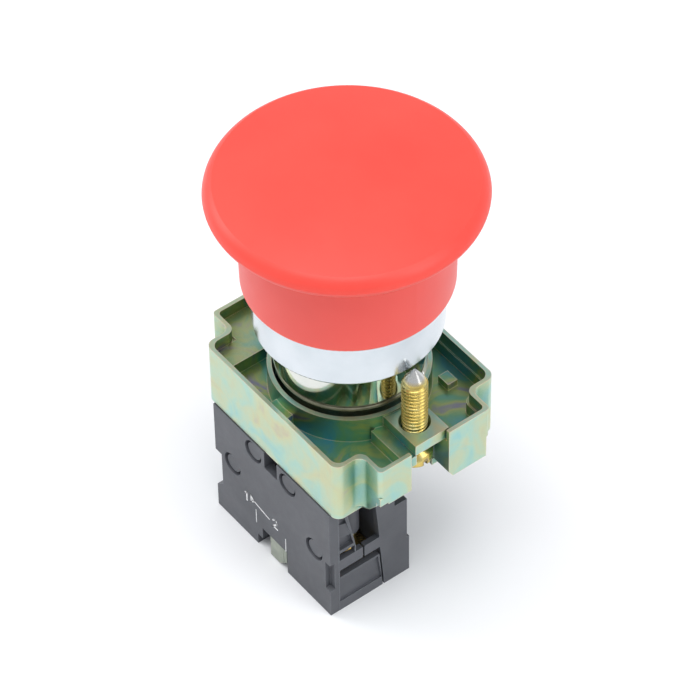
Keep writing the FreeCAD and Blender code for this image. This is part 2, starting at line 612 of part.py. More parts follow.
def mounting_body():
    added = [
        tray_outline("tray", "0", "tray_under_z", "rim_z"),
        skirt_outline("skirt", "0", "body_bottom_z", "tray_under_z"),
    ]
    hollow = [
        tray_outline("tray_room", "rim_wall", "ledge_z", "rim_z + overrun"),
        tray_outline("tray_floor_room", "ledge_wall", "tray_z", "ledge_z"),
        skirt_outline("skirt_room", "skirt_wall", "body_bottom_z - overrun", "tray_under_z"),
    ]
    pieces = [
        cut("body_shell", joined("body_blank", added), hollow),
        rod("ring", "ring_radius", "ring_bottom_z", "ring_top_z"),
        box("plateau", ("- tab_half_length + rim_wall", "- tab_half_width + rim_wall", "tray_z"),
            ("- plateau_x", "- plateau_y", "plateau_z")),
        box("plateau_corner", ("- body_half_length + rim_wall", "- body_half_width + rim_wall", "tray_z"),
            ("- plateau_x", "- tab_half_width + rim_wall", "plateau_z")),
    ]
    for side in ("left", "right"):
        pieces.append(end_box("block_boss", side, ("boss_x", "boss_y", "tray_z"),
                              ("boss_x + boss_length", "boss_y + boss_width", "boss_z")))
    removed = [rod("barrel_hole", "ring_bore", "body_bottom_z - overrun", "0")]
    for side in ("near", "far"):
        add, remove = body_end(side)
        pieces += add
        removed += remove
    return cut("mounting_body", joined("body_solid", pieces), removed)


def clamp_screw(name, turned):
    """Pointed machine screw with a slotted cheese head.  Its thread is a row of ridges one pitch
    apart, each drawn by four points at these shares of the pitch."""
    ridge = (("screw_root", 0.15), ("screw_radius", 0.45), ("screw_radius", 0.65), ("screw_root", 0.95))
    profile = [
        ("0", "screw_head_z"),
        ("screw_head_radius - 2*edge_round", "screw_head_z", "2*edge_round"),
        ("screw_head_radius", "screw_head_z + 2*edge_round"),
        ("screw_head_radius", "screw_head_top_z"),
        ("screw_root", "screw_head_top_z"),
    ]
    turns = int((SIZES["screw_thread_top_z"] - SIZES["screw_head_top_z"]) / SIZES["screw_pitch"])
    for turn in range(turns):
        for radius, share in ridge:
            profile.append((radius, f"screw_head_top_z + {turn + share}*screw_pitch"))
    profile.append(("screw_root", "screw_thread_top_z"))
    profile.append(("screw_tip_flat", "screw_tip_z"))
    profile.append(("0", "screw_tip_z"))
    shank = turned_part(name + "_shank", profile)
    slot = box(name + "_slot",
               ("- screw_head_radius - overrun", "- 0.5*screw_slot", "screw_head_z - overrun"),
               ("screw_head_radius + overrun", "0.5*screw_slot", "screw_head_z + screw_slot_depth"))
    screw = cut(name, shank, [slot])
    place(screw, "screw_x", turned=turned)
    return screw


# Contact block ------------------------------------------------------------------------------

def block_end(side):
    """What is cut from one end of the housing for its terminal, and what stands inside it."""
    outside = "block_half_length + overrun"
    inside = "block_half_length - block_wall"
    centre = minus("terminal_x") if side == "left" else "terminal_x"
    screw_centre = minus("screw_x") if side == "left" else "screw_x"
    window = [
        ("window_front", "block_top_z - block_wall"),
        ("window_front_low", "window_tip_z"),
        ("window_front_low", "window_sill_z"),
        ("window_back_low", "window_sill_z"),
        ("window_back", "block_top_z - block_wall"),
    ]
    cell = [
        ("cell_front", "cell_top_z"),
        ("cell_front", "cell_sill_z"),
        ("cell_back_low", "cell_sill_z"),
        ("cell_back", "cell_top_z"),
    ]
    flap = [
        ("flap_front", "flap_z"),
        ("flap_front", "flap_line_z"),
        ("flap_back_low", "flap_line_z"),
        ("flap_back", "flap_z"),
    ]
    gap = [
        ("gap_top", "bar_bottom_z"),
        ("gap_foot", "block_bottom_z - overrun"),
        ("gap_foot + gap_width", "block_bottom_z - overrun"),
        ("gap_top + gap_width", "bar_bottom_z"),
    ]
    removed = [
        end_box("room", side,
                ("contact_room + room_wall", "cover_back - overrun", "block_bottom_z + terminal_floor"),
                (inside, "room_back", "block_top_z - block_wall")),
        end_bar("window", side, window, inside, outside),
        end_bar("cell", side, cell, "block_half_length - cell_depth", outside),
        end_bar("flap", side, flap, "block_half_length - flap_sink", outside),
        end_bar("flap_gap", side, gap, inside, outside),
        end_box("side_slot", side, (inside, "cell_front", "window_sill_z"),
                (outside, "side_slot_back", "side_slot_z")),
        end_box("slit", side, (inside, "slit_front", "bar_bottom_z - fit_gap"),
                (outside, "slit_back", "window_sill_z + fit_gap")),
        end_box("wire_slot", side, (inside, "cell_front", "wire_slot_z"),
                (outside, "room_back", "bar_bottom_z")),
        end_box("strip_slot", side,
                ("contact_room - fit_gap", "contact_y - strip_half_width - fit_gap",
                 "plate_top_z - strip_thick - fit_gap"),
                ("contact_room + room_wall + fit_gap", "contact_y + strip_half_width + fit_gap",
                 "plate_top_z + fit_gap")),
        rod(f"driver_hole_{side}", "driver_hole", "block_bottom_z - overrun",
            "block_bottom_z + terminal_floor + overrun", centre, "terminal_y"),
        rod(f"head_relief_{side}", "head_relief", "head_relief_z", "block_top_z + overrun",
            screw_centre, "0"),
    ]
    tube = rod(f"tube_{side}", "tube_radius", "tube_end_z", "block_top_z - 0.5*block_wall",
               centre, "terminal_y")
    bore = rod(f"tube_bore_{side}", "tube_bore", "tube_end_z - overrun", "block_top_z - block_wall",
               centre, "terminal_y")
    wedge = [
        (inside, "cell_front"),
        ("block_half_length - cell_depth", "cell_front"),
        ("block_half_length - fit_gap", "cheek_back"),
        (inside, "cheek_back"),
    ]
    if side == "left":
        wedge = [(minus(x), y) for x, y in wedge]
    cheek = bar_part(f"cell_cheek_{side}", "XY_Plane", wedge, "cheek_bottom_z",
                     "cheek_top_z - (cheek_bottom_z)")
    return removed, [cut(f"tip_guard_{side}", tube, [bore]), cheek]


def contact_housing():
    blank = joined("housing_blank", [
        box("housing_main", ("- block_half_length", "cover_back", "block_bottom_z"),
            ("block_half_length", "upper_back", "block_top_z")),
        box("housing_foot", ("- block_half_length", "upper_back - overrun", "block_bottom_z"),
            ("block_half_length", "block_back", "band_step_z")),
        box("housing_neck", ("- neck_half_length", "cover_back", "block_top_z - overrun"),
            ("neck_half_length", "neck_back", "block_neck_z")),
    ])
    removed = [
        box("contact_room_space", ("- contact_room", "cover_back - overrun", "room_floor_z"),
            ("contact_room", "upper_back - back_wall", "block_top_z")),
        box("post_hole",
            ("- post_half - post_gap", "contact_y - post_half - post_gap", "block_top_z - overrun"),
            ("post_half + post_gap", "contact_y + post_half + post_gap", "block_neck_z + overrun")),
        box("latch_channel", ("latch_left - latch_slot", "cover_back - overrun", "block_top_z - overrun"),
            ("latch_right + latch_slot", "latch_front + latch_thick + latch_swing",
             "block_neck_z + overrun")),
        box("housing_notch", ("notch_left", "cover_back - overrun", "block_bottom_z - overrun"),
            ("notch_right", "cover_back + notch_depth", "room_floor_z - room_floor")),
        box("notch_opening", ("latch_left - latch_slot", "cover_back - overrun", "block_bottom_z"),
            ("latch_right + latch_slot", "latch_front + latch_thick + latch_slot", "room_floor_z + overrun")),
    ]
    kept = []
    for side in ("left", "right"):
        gone, inside = block_end(side)
        removed += gone
        kept += inside
        kept.append(end_box("hook", side, ("toe_x", "hook_back", "block_neck_z - fit_gap"),
                            ("toe_x + hook_width", "hook_front", "hook_z")))
        kept.append(end_box("hook_tip", side, ("toe_x", "hook_front - fit_gap", "hook_under_z"),
                            ("toe_x + hook_width", "hook_tip", "hook_z")))
    for letter in "abcd":
        kept.append(lying_rod(f"peg_{letter}", "peg_radius", f"peg_{letter}_x", f"peg_{letter}_z",
                              "block_front + peg_sink", "cover_back + peg_root"))
    rails = (
        ("left", "- contact_room", "latch_left - latch_slot", "peg_b_z - peg_radius", "block_top_z"),
        ("right", "latch_right + latch_slot", "contact_room", "peg_b_z - peg_radius", "block_top_z"),
        ("outer_left", "peg_a_x", "- contact_room", "peg_a_z - peg_radius", "peg_a_z + peg_radius"),
        ("outer_right", "contact_room", "peg_d_x", "peg_d_z - peg_radius", "peg_d_z + peg_radius"),
    )
    for name, left, right, low, high in rails:
        kept.append(box(f"peg_rail_{name}", (left, "cover_back + fit_gap", low),
                        (right, "cover_back + peg_root", high)))
    hollow = cut("housing_hollow", blank, removed)
    solid = joined("housing_solid", [hollow] + kept)
    pin = cross_rod("pin_seat", "latch_pin_radius", "latch_pin_y", "latch_pin_z",
                    "- latch_pin_half", "latch_pin_half")
    return cut("contact_housing", solid, [pin])


def contact_cover():
    """The printed side of the block: a plate held by the housing's four pegs."""
    plate = bar_part("cover_plate", "XZ_Plane", [
        ("- block_half_length", "block_top_z"),
        ("- block_half_length", "cover_step_top_z"),
        ("- cover_step_x", "cover_step_top_z"),
        ("- cover_step_x", "cover_step_bottom_z"),
        ("- block_half_length", "cover_step_bottom_z - cover_step_slope"),
        ("- block_half_length", "block_bottom_z"),
        ("notch_left", "block_bottom_z"),
        ("notch_left", "notch_step_z"),
        ("notch_step", "notch_step_z"),
        ("notch_step", "notch_z"),
        ("notch_right", "notch_z"),
        ("notch_right", "block_bottom_z"),
        ("block_half_length", "block_bottom_z"),
        ("block_half_length", "block_top_z"),
        ("port_right", "block_top_z"),
        ("port_right", "port_z"),
        ("port_left", "port_z"),
        ("port_left", "block_top_z"),
    ], "- cover_back", "cover_back - block_front")
    removed = []
    for letter in "abcd":
        removed.append(lying_rod(f"peg_hole_{letter}", "peg_hole", f"peg_{letter}_x", f"peg_{letter}_z",
                                 "block_front - overrun", "cover_back + overrun"))
    removed.append(box("cover_slot", ("cover_slot_x", "block_front - overrun", "cover_slot_z"),
                       ("block_half_length + overrun", "block_front + cover_slot_depth", "cover_slot_top_z")))
    return cut("contact_cover", plate, removed)


def terminal(side):
    """Terminal plate, riser and fixed contact strip bent from one brass strip."""
    tip_top = "bridge_top_z + 2*tip_thick + tip_gap"
    points = [
        ("plate_inner + plate_lap", "plate_top_z - strip_thick"),
        ("plate_inner + plate_lap", "plate_top_z"),
        ("strip_riser", "plate_top_z"),
        ("strip_riser", f"{tip_top} + strip_thick"),
        ("strip_inner", f"{tip_top} + strip_thick"),
        ("strip_inner", tip_top),
        ("strip_riser - strip_thick", tip_top),
        ("strip_riser - strip_thick", "plate_top_z - strip_thick"),
    ]
    centre = "terminal_x"
    if side == "left":
        points = [(minus(x), z) for x, z in points]
        centre = minus(centre)
    strip = bar_part(f"strip_{side}", "XZ_Plane", points, "- contact_y - strip_half_width",
                     "2*strip_half_width")
    wide = end_box("plate", side, ("plate_inner", "plate_front", "plate_top_z - strip_thick"),
                   ("plate_end", "plate_back", "plate_top_z"))
    hole = rod(f"thread_{side}", "thread_hole", "plate_top_z - strip_thick - overrun",
               "plate_top_z + overrun", centre, "terminal_y")
    return cut(f"terminal_{side}", joined(f"terminal_blank_{side}", [strip, wide]), [hole])


def contact_tips(name, low, high):
    """A pair of silver buttons, one over each end of the bridge."""
    group = doc.addObject("Part::Compound", name)
    group.Links = [
        rod(f"{name}_left", "tip_radius", low, high, minus("tip_x"), "contact_y"),
        rod(f"{name}_right", "tip_radius", low, high, "tip_x", "contact_y"),
    ]
    return group


def contact_plunger():
    """The post that the button's pusher presses, and the carrier whose cage holds the bridge."""
    near = "contact_y - carrier_half_y"
    far = "contact_y + carrier_half_y"
    solid = joined("plunger_solid", [
        box("plunger_post", ("- post_half", "contact_y - post_half", "carrier_top_z - fit_gap"),
            ("post_half", "contact_y + post_half", "post_top_z")),
        box("plunger_carrier", ("- carrier_half_x", near, "carrier_bottom_z"),
            ("carrier_half_x", far, "carrier_top_z")),
        rod("plunger_tail", "tail_radius", "tail_z", "carrier_bottom_z + fit_gap", "0", "contact_y"),
    ])
    cage = box("plunger_cage",
               ("- carrier_half_x - overrun", "contact_y - bridge_half_width - fit_gap", "cage_bottom_z"),
               ("carrier_half_x + overrun", "contact_y + bridge_half_width + fit_gap", "cage_top_z"))
    return cut("contact_plunger", solid, [cage])


def contact_bridge():
    plate = box("bridge_plate", ("- bridge_half", "contact_y - bridge_half_width", "bridge_low_z"),
                ("bridge_half", "contact_y + bridge_half_width", "bridge_top_z"))
    dimple = rod("bridge_dimple", "0.5*tip_radius", "bridge_low_z - bridge_thick", "bridge_top_z",
                 "0", "contact_y")
    return joined("contact_bridge", [plate, dimple])


def terminal_screw(side):
    """Thread, head with a cross recess that faces the bottom of the block."""
    shank = turned_part(f"terminal_shank_{side}", [
        ("0", "term_head_z"),
        ("term_head_radius - edge_round", "term_head_z"),
        ("term_head_radius", "term_head_z + edge_round"),
        ("term_head_radius", "term_head_top_z"),
        ("term_screw_radius", "term_head_top_z"),
        ("term_screw_radius", "term_screw_tip_z - edge_round"),
        ("term_screw_radius - edge_round", "term_screw_tip_z"),
        ("0", "term_screw_tip_z"),
    ])
    arms = []
    for number, (x, y) in enumerate((("cross_half", "0.5*cross_width"), ("0.5*cross_width", "cross_half"))):
        arms.append(box(f"cross_{side}_{number}", (f"- {x}", f"- {y}", "term_head_z - overrun"),
                        (x, y, "term_head_z + cross_depth")))
    screw = cut(f"terminal_screw_{side}", shank, arms)
    place(screw, minus("terminal_x") if side == "left" else "terminal_x", "terminal_y")
    return screw


def terminal_saddle(side):
    """Wire clamp: a plate under the screw's head with an ear up each side of the wires."""
    low = "term_head_top_z"
    front = "plate_front - fit_gap"
    back = "plate_back + fit_gap"
    pieces = [
        end_box("saddle_base", side, ("saddle_inner", f"{front} - saddle_ear", low),
                ("saddle_end", f"{back} + saddle_ear", "term_head_top_z + saddle_thick")),
        end_box("saddle_ear_front", side, ("saddle_inner", f"{front} - saddle_ear", low),
                ("saddle_end", front, "saddle_ear_z")),
        end_box("saddle_ear_back", side, ("saddle_inner", back, low),
                ("saddle_end", f"{back} + saddle_ear", "saddle_ear_z")),
    ]
    centre = minus("terminal_x") if side == "left" else "terminal_x"
    hole = rod(f"saddle_hole_{side}", "saddle_hole", "term_head_top_z - overrun", "saddle_ear_z + overrun",
               centre, "terminal_y")
    return cut(f"terminal_saddle_{side}", joined(f"saddle_solid_{side}", pieces), [hole])


def block_latch():
    """Sheet-metal latch: a leg whose tooth sits on the mounting body's catch, a plate with a knuckle
    on the pin, and a tongue to push."""
    back = "latch_front + latch_thick"
    leg = bar_part("latch_leg_bar", "YZ_Plane", [
        ("latch_front", "latch_plate_z - overrun"),
        (back, "latch_plate_z - overrun"),
        (back, "latch_top_z"),
        ("latch_reach", "latch_top_z"),
        ("latch_reach", "latch_top_z - latch_tooth"),
        ("latch_front", "latch_top_z - latch_tooth"),
    ], "latch_leg", "latch_right - latch_leg")
    tongue = bar_part("latch_tongue", "XZ_Plane", [
        ("latch_left", "tongue_z"),
        ("tongue_bevel_x", "tongue_z"),
        ("tongue_right", "tongue_bevel_z"),
        ("tongue_right", "latch_bend_z"),
        ("latch_left", "latch_bend_z"),
    ], minus("tongue_front + latch_thick"), "latch_thick")
    pieces = [
        leg,
        box("latch_plate", ("latch_left", "latch_front", "latch_bend_z - latch_thick"),
            ("latch_right", back, "latch_plate_z")),
        box("latch_shelf", ("latch_left", "tongue_front", "latch_bend_z - latch_thick"),
            ("tongue_right", back, "latch_bend_z")),
        tongue,
        cross_rod("latch_knuckle_rod", "latch_knuckle", "latch_pin_y", "latch_pin_z",
                  "latch_left", "latch_right"),
    ]
    removed = [
        cross_rod("latch_pin_hole", "latch_pin_radius + slip", "latch_pin_y", "latch_pin_z",
                  "latch_left - overrun", "latch_right + overrun"),
        box("tongue_groove", ("tongue_line", "tongue_front - overrun", "tongue_z - overrun"),
            ("tongue_line + tongue_line_width", "tongue_front + fit_gap", "latch_bend_z + overrun")),
    ]
    return cut("block_latch", joined("latch_solid", pieces), removed)


tip_low = "bridge_top_z + tip_thick + tip_gap"
spring_y = SIZES["contact_y"]
parts = [
    mushroom_cap(), stem(), pusher_disc(), stem_clip(),
    bezel(), barrel(), panel_gasket(), stem_seal(), detent_ring(), snap_ring(),
    mounting_body(), clamp_screw("clamp_screw_near", False), clamp_screw("clamp_screw_far", True),
    contact_housing(), contact_cover(), terminal("left"), terminal("right"),
    contact_tips("fixed_tips", tip_low, f"{tip_low} + tip_thick"),
    contact_tips("bridge_tips", "bridge_top_z", "bridge_top_z + tip_thick"),
    contact_plunger(), contact_bridge(),
    spring("plunger_spring", "return_wire", "return_coil", "return_turns",
           "room_floor_z", "carrier_bottom_z", 0, spring_y),
    spring("bridge_spring", "cage_wire", "cage_coil", "cage_turns",
           "cage_bottom_z", "bridge_low_z", 0, spring_y),
    terminal_screw("left"), terminal_screw("right"), terminal_saddle("left"), terminal_saddle("right"),
    block_latch(),
    cross_rod("latch_pin", "latch_pin_radius", "latch_pin_y", "latch_pin_z",
              "- latch_pin_half", "latch_pin_half"),
]

doc.recompute()
for feature in doc.Objects:
    if "Invalid" in feature.State or "Error" in feature.State:
        raise RuntimeError(f"{feature.Name} is {feature.State}")

os.makedirs("parts", exist_ok=True)
for part in parts:
    part.Label = part.Name
    shape = part.Shape
    if shape.isNull() or not shape.isValid() or not shape.Solids:
        raise RuntimeError(f"{part.Name} has no valid solid")
    shape.exportStep(f"parts/{part.Label}.step")
    print(f"{part.Label:24s} {len(shape.Solids)} solid, {shape.Volume:9.2f} mm3")
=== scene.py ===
import json
import math

import bmesh
import bpy
from mathutils import Matrix, Vector


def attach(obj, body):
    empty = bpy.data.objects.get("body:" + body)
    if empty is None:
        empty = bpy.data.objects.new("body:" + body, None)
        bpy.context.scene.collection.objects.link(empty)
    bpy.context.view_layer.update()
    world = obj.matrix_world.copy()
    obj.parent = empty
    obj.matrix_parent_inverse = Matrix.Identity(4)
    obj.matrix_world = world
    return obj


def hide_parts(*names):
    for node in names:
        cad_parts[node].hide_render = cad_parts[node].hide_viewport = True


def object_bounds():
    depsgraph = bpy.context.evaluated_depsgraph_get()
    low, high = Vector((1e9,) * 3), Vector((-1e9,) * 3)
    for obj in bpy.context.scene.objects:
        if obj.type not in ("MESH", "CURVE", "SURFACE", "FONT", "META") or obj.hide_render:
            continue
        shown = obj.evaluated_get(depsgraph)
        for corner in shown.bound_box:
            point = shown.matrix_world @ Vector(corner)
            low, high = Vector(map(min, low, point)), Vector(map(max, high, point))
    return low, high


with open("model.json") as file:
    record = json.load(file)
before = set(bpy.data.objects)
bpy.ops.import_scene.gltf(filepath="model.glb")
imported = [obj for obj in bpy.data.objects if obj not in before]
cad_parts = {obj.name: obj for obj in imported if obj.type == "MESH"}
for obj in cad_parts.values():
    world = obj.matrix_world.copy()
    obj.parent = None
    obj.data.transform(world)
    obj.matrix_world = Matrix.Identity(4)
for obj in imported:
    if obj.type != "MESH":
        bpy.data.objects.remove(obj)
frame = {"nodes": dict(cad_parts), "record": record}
cad_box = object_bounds()

MM = 0.001
TURN = 2 * math.pi
record = frame["record"]
slot_of = {part["node"]: part["material_slot"] for part in record["subparts"]}
body_of = {node: body for body, nodes in record["behaviour"]["bodies"].items() for node in nodes}

# Camera and light -----------------------------------------------------------------------------

# Metres, degrees and watts, except the lens, which is in millimetres.
CAMERA_AZIMUTH = -37.18
CAMERA_HEIGHT = 47.42
CAMERA_ROLL = -0.95
CAMERA_DISTANCE = 571.9 * MM
CAMERA_LENS = 204.2
CAMERA_AIM = Vector((-0.76, 0.69, -8.86)) * MM
CAMERA_NEAREST = 0.01

SKY_COLOUR = (0.94, 0.96, 1.0, 1.0)
SKY_STRENGTH = 0.72
FLOOR_REACH = 1.5

# Each softbox: its direction in degrees round and up, its distance and size in metres, and its watts.
SOFTBOXES = {
    "top_softbox": {"azimuth": -60, "height": 80, "distance": 0.55, "size": (0.4, 0.4), "power": 1.75},
    "left_softbox": {"azimuth": -150, "height": 35, "distance": 0.6, "size": (0.25, 0.45), "power": 1.0},
    "right_softbox": {"azimuth": 20, "height": 35, "distance": 0.6, "size": (0.25, 0.45), "power": 0.9},
}


def from_angles(azimuth, height):
    """The unit vector that points that way, in degrees from +X and up from the floor."""
    turn = math.radians(azimuth)
    rise = math.radians(height)
    return Vector((math.cos(rise) * math.cos(turn), math.cos(rise) * math.sin(turn), math.sin(rise)))


def add_camera():
    camera = bpy.data.objects.new("camera", bpy.data.cameras.new("camera"))
    camera.data.lens = CAMERA_LENS
    camera.data.clip_start = CAMERA_NEAREST
    back = from_angles(CAMERA_AZIMUTH, CAMERA_HEIGHT)
    level = back.to_track_quat("Z", "Y").to_matrix().to_4x4()
    spot = Matrix.Translation(CAMERA_AIM + back * CAMERA_DISTANCE)
    camera.matrix_world = spot @ level @ Matrix.Rotation(math.radians(CAMERA_ROLL), 4, "Z")
    bpy.context.scene.collection.objects.link(camera)
    bpy.context.scene.camera = camera


def add_softbox(name, azimuth, height, distance, size, power):
    lamp = bpy.data.lights.new(name, "AREA")
    lamp.shape = "RECTANGLE"
    lamp.size, lamp.size_y = size
    lamp.energy = power
    softbox = bpy.data.objects.new(name, lamp)
    away = from_angles(azimuth, height)
    aimed = away.to_track_quat("Z", "Y").to_matrix().to_4x4()
    softbox.matrix_world = Matrix.Translation(away * distance) @ aimed
    bpy.context.scene.collection.objects.link(softbox)


def add_sky():
    world = bpy.data.worlds.new("studio")
    world.use_nodes = True
    background = world.node_tree.nodes["Background"]
    background.inputs["Color"].default_value = SKY_COLOUR
    background.inputs["Strength"].default_value = SKY_STRENGTH
    bpy.context.scene.world = world
    bpy.context.scene.view_settings.view_transform = "Standard"


def add_floor(floor_z):
    """A pale square under the object, which isn't part of it."""
    floor_mesh = bpy.data.meshes.new("floor")
    ends = ((-1, -1), (1, -1), (1, 1), (-1, 1))
    corners = [(x * FLOOR_REACH, y * FLOOR_REACH, floor_z) for x, y in ends]
    floor_mesh.from_pydata(corners, [], [(0, 1, 2, 3)])
    floor = bpy.data.objects.new("floor", floor_mesh)
    bpy.context.scene.collection.objects.link(floor)
    floor.data.materials.append(plain_floor())


def add_studio(floor_z):
    for name, softbox in SOFTBOXES.items():
        add_softbox(name, **softbox)
    add_sky()
    add_floor(floor_z)


# Materials ------------------------------------------------------------------------------------

EDGE_SAMPLES = 4
SHELTER_SAMPLES = 8


class Look:
    """A node material under construction, with textures placed in the object's own coordinates."""

    def __init__(self, name, metallic=0.0, roughness=0.5):
        self.material = bpy.data.materials.new(name)
        self.material.use_nodes = True
        self.nodes = self.material.node_tree.nodes
        self.links = self.material.node_tree.links
        self.shader = self.nodes["Principled BSDF"]
        self.shader.inputs["Metallic"].default_value = metallic
        self.shader.inputs["Roughness"].default_value = roughness
        self.place = self.nodes.new("ShaderNodeTexCoord").outputs["Object"]

    def stretched(self, stretch):
        """The object's coordinates, scaled along each axis."""
        mapping = self.nodes.new("ShaderNodeMapping")
        mapping.inputs["Scale"].default_value = stretch
        self.links.new(self.place, mapping.inputs["Vector"])
        return mapping.outputs["Vector"]

    def noise(self, size_mm, detail=2.0, roughness=0.5, warp=0.0, where=None):
        """Cloudy noise with features about size_mm across."""
        noise = self.nodes.new("ShaderNodeTexNoise")
        noise.inputs["Scale"].default_value = 1 / (size_mm * MM)
        noise.inputs["Detail"].default_value = detail
        noise.inputs["Roughness"].default_value = roughness
        noise.inputs["Distortion"].default_value = warp
        self.links.new(where or self.place, noise.inputs["Vector"])
        return noise.outputs["Fac"]

    def ramp(self, factor, stops):
        """A colour for each level of factor: stops are (level, colour)."""
        ramp = self.nodes.new("ShaderNodeValToRGB")
        band = ramp.color_ramp
        while len(band.elements) < len(stops):
            band.elements.new(0.5)
        for element, (level, colour) in zip(band.elements, stops):
            element.position = level
            element.color = (*colour, 1.0)
        self.links.new(factor, ramp.inputs["Fac"])
        return ramp.outputs["Color"]

    def span(self, factor, low, high, bottom=0.0, top=1.0):
        """factor's levels from bottom to top spread over low to high."""
        spread = self.nodes.new("ShaderNodeMapRange")
        spread.inputs["From Min"].default_value = bottom
        spread.inputs["From Max"].default_value = top
        spread.inputs["To Min"].default_value = low
        spread.inputs["To Max"].default_value = high
        self.links.new(factor, spread.inputs["Value"])
        return spread.outputs["Result"]

    def height(self, low_mm, high_mm):
        """0 at one height on the object and 1 at another."""
        split = self.nodes.new("ShaderNodeSeparateXYZ")
        self.links.new(self.place, split.inputs["Vector"])
        return self.span(split.outputs["Z"], 0.0, 1.0, bottom=low_mm * MM, top=high_mm * MM)

    def mix(self, factor, first, second):
        """The first colour where factor is 0, and the second where it is 1."""
        mixer = self.nodes.new("ShaderNodeMix")
        mixer.data_type = "RGBA"
        by_name = {socket.identifier: socket for socket in mixer.inputs}
        sockets = (mixer.inputs["Factor"], by_name["A_Color"], by_name["B_Color"])
        for socket, value in zip(sockets, (factor, first, second)):
            if isinstance(value, (int, float)):
                socket.default_value = value
            elif isinstance(value, tuple):
                socket.default_value = (*value, 1.0)
            else:
                self.links.new(value, socket)
        return next(socket for socket in mixer.outputs if socket.identifier == "Result_Color")

    def edges(self, width_mm):
        """1 on sharp outer edges and corners, 0 elsewhere: the mask for painted edge highlights."""
        bevel = self.nodes.new("ShaderNodeBevel")
        bevel.samples = EDGE_SAMPLES
        bevel.inputs["Radius"].default_value = width_mm * MM
        plain = self.nodes.new("ShaderNodeNewGeometry")
        dot = self.nodes.new("ShaderNodeVectorMath")
        dot.operation = "DOT_PRODUCT"
        self.links.new(bevel.outputs["Normal"], dot.inputs[0])
        self.links.new(plain.outputs["Normal"], dot.inputs[1])
        return self.span(dot.outputs["Value"], low=1.0, high=0.0, bottom=0.75, top=0.99)

    def hollow_shade(self, reach_mm):
        """1 where other walls stand close by, and 0 on open faces: the mask for painted shade in hollows.
        """
        cover = self.nodes.new("ShaderNodeAmbientOcclusion")
        cover.samples = SHELTER_SAMPLES
        cover.only_local = True
        cover.inputs["Distance"].default_value = reach_mm * MM
        return self.span(cover.outputs["AO"], low=1.0, high=0.0, bottom=0.72, top=0.95)

    def bump(self, height, depth_mm, strength):
        """Small relief on the surface, depth_mm deep where height is 1."""
        bump = self.nodes.new("ShaderNodeBump")
        bump.inputs["Strength"].default_value = strength
        bump.inputs["Distance"].default_value = depth_mm * MM
        self.links.new(height, bump.inputs["Height"])
        self.links.new(bump.outputs["Normal"], self.shader.inputs["Normal"])

    def wear(self, colour, roughness=None):
        """The finished material, with this colour and, where it varies, this roughness."""
        self.links.new(colour, self.shader.inputs["Base Color"])
        if roughness is not None:
            self.links.new(roughness, self.shader.inputs["Roughness"])
        return self.material


def plain_floor():
    look = Look("plain_floor", roughness=0.9)
    tone = look.ramp(look.noise(400), [(0.3, (0.88, 0.89, 0.9)), (0.7, (0.9, 0.91, 0.92))])
    return look.wear(tone)


def red_plastic():
    look = Look("red_plastic")
    tone = look.ramp(look.noise(14, detail=3), [(0.35, (0.79, 0.055, 0.038)), (0.65, (0.83, 0.064, 0.044))])
    # Painted reflected light: from 22 mm down to 8 mm the red is painted lighter and pinker, brightest at
    # the neck's foot.
    tone = look.mix(look.height(8, 22), look.mix(0.5, tone, (0.85, 0.085, 0.07)), tone)
    look.bump(look.noise(0.22, detail=3), depth_mm=0.012, strength=0.5)
    look.shader.inputs["Subsurface Weight"].default_value = 0.05
    return look.wear(tone, look.span(look.noise(3, detail=3), 0.36, 0.46))


def black_plastic():
    look = Look("black_plastic")
    tone = look.ramp(look.noise(3, detail=3), [(0.3, (0.012, 0.012, 0.013)), (0.7, (0.022, 0.022, 0.024))])
    look.bump(look.noise(0.15, detail=2), depth_mm=0.01, strength=0.6)
    return look.wear(tone, look.span(look.noise(1, detail=3), 0.4, 0.55))


def moulded_grey(name):
    look = Look(name)
    body = look.ramp(look.noise(6, detail=4), [(0.3, (0.062, 0.066, 0.076)), (0.7, (0.082, 0.086, 0.098))])
    # Painted highlight: the block's sharp edges are painted a lighter grey.
    tone = look.mix(look.edges(width_mm=0.2), body, (0.15, 0.16, 0.18))
    look.bump(look.noise(0.18, detail=3, roughness=0.6), depth_mm=0.012, strength=0.7)
    return look.wear(tone, look.span(look.noise(1.2, detail=3), 0.4, 0.55))


def grey_plastic():
    return moulded_grey("grey_plastic")


def grey_plastic_printed():
    return moulded_grey("grey_plastic_printed")


def white_print():
    look = Look("white_print")
    tone = look.ramp(look.noise(0.5, detail=4), [(0.3, (0.6, 0.6, 0.6)), (0.6, (0.82, 0.82, 0.82))])
    look.bump(look.noise(0.12, detail=3), depth_mm=0.01, strength=0.5)
    return look.wear(tone, look.span(look.noise(0.6, detail=3), 0.5, 0.7))


def red_plunger():
    look = Look("red_plunger")
    tone = look.ramp(look.noise(3, detail=3), [(0.3, (0.5, 0.03, 0.025)), (0.7, (0.58, 0.045, 0.035))])
    look.bump(look.noise(0.15, detail=2), depth_mm=0.01, strength=0.5)
    return look.wear(tone, look.span(look.noise(1, detail=3), 0.35, 0.5))


def rubber():
    look = Look("rubber")
    tone = look.ramp(look.noise(1.5, detail=4), [(0.3, (0.014, 0.014, 0.014)), (0.7, (0.03, 0.03, 0.03))])
    look.bump(look.noise(0.12, detail=3), depth_mm=0.02, strength=0.7)
    return look.wear(tone, look.span(look.noise(0.8, detail=3), 0.6, 0.8))


def chrome_ring():
    look = Look("chrome_ring", metallic=1.0)
    brushed = look.noise(0.35, detail=3, roughness=0.6, where=look.stretched((0.06, 0.06, 1.0)))
    tone = look.ramp(look.noise(5, detail=3), [(0.3, (0.57, 0.62, 0.65)), (0.7, (0.66, 0.7, 0.73))])
    look.bump(brushed, depth_mm=0.004, strength=0.5)
    return look.wear(tone, look.span(brushed, 0.12, 0.22))


